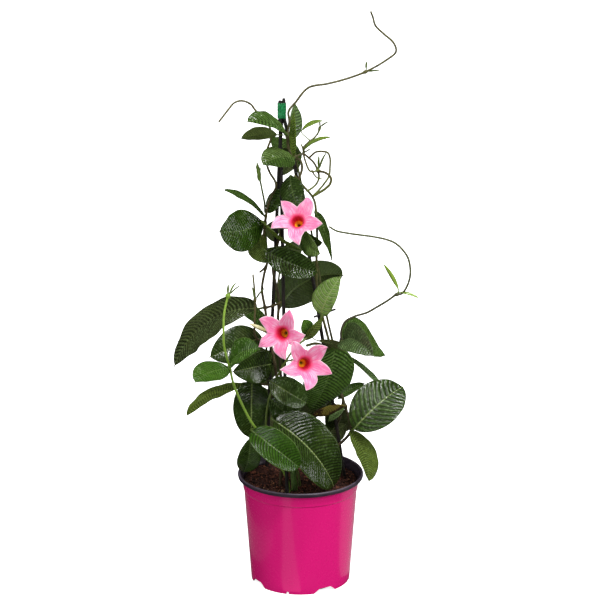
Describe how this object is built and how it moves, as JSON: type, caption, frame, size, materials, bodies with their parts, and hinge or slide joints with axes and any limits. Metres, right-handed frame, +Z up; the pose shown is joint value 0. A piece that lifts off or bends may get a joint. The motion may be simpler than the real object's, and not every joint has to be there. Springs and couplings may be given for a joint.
{
  "type": "potted mandevilla",
  "caption": "Climbing plant with glossy quilted leaves and pink trumpet flowers, twining up canes tied at the top, in a round tapered nursery pot.",
  "frame": {"origin": "centre of the pot's base, on its flat resting face", "axes": "+Z up along the plant; the front that the flowers face is -Y, +X is the plant's right side seen from the front"},
  "size_m": [0.2899, 0.2454, 0.6966],
  "materials": {
    "pot": "glossy magenta, dark lip",
    "soil": "loose dark peat",
    "cane": "black, weathered",
    "tie": "shiny green tape",
    "vine": "olive brown bark",
    "green_stem": "young green stem",
    "petal": "soft pink petal, crimson throat",
    "leaf": "glossy, quilted between the veins",
    "dry_leaf": "dry, withered"
  },
  "bodies": {
    "root": {"pot": "pot", "soil": "soil", "cane_front": "cane", "cane_left": "cane", "cane_right": "cane", "cane_peg": "cane", "cane_tie": "tie", "old_stem": "green_stem", "left_vine": "vine", "centre_vine": "vine", "right_vine": "vine", "back_shoot_left": "vine", "back_shoot_right": "vine", "right_shoot": "green_stem", "green_shoot": "green_stem", "left_shoot": "green_stem", "top_shoots": "green_stem", "bud_stalk": "green_stem", "stalk_top": "green_stem", "stalk_left": "green_stem", "stalk_right": "green_stem", "flower_top": "petal", "flower_left": "petal", "flower_right": "petal", "leaf_top_front_1": "leaf", "leaf_top_front_2": "leaf", "leaf_upper_left_1": "leaf", "leaf_top_front_3": "leaf", "leaf_upper_front_1": "leaf", "leaf_middle_left_1": "leaf", "leaf_top_left_1": "leaf", "leaf_upper_front_2": "leaf", "leaf_middle_right_1": "leaf", "leaf_middle_left_2": "leaf", "leaf_upper_front_3": "leaf", "leaf_top_left_2": "leaf", "leaf_top_back_1": "leaf", "leaf_upper_front_4": "leaf", "leaf_top_front_4": "leaf", "leaf_low_front_1": "leaf", "leaf_middle_right_2": "leaf", "leaf_upper_left_2": "leaf", "leaf_upper_right_1": "leaf", "leaf_middle_left_3": "leaf", "leaf_low_front_2": "leaf", "leaf_middle_left_4": "leaf", "leaf_low_front_3": "leaf", "leaf_low_front_4": "leaf", "leaf_middle_left_5": "leaf", "leaf_low_left_1": "leaf", "leaf_low_left_2": "leaf", "leaf_low_right_1": "leaf", "leaf_low_left_3": "leaf", "leaf_dry": "dry_leaf", "leaf_low_right_3": "leaf", "leaf_middle_right_3": "leaf", "leaf_low_right_4": "leaf", "leaf_middle_back_1": "leaf", "leaf_low_right_5": "leaf"}
  },
  "joints": []
}
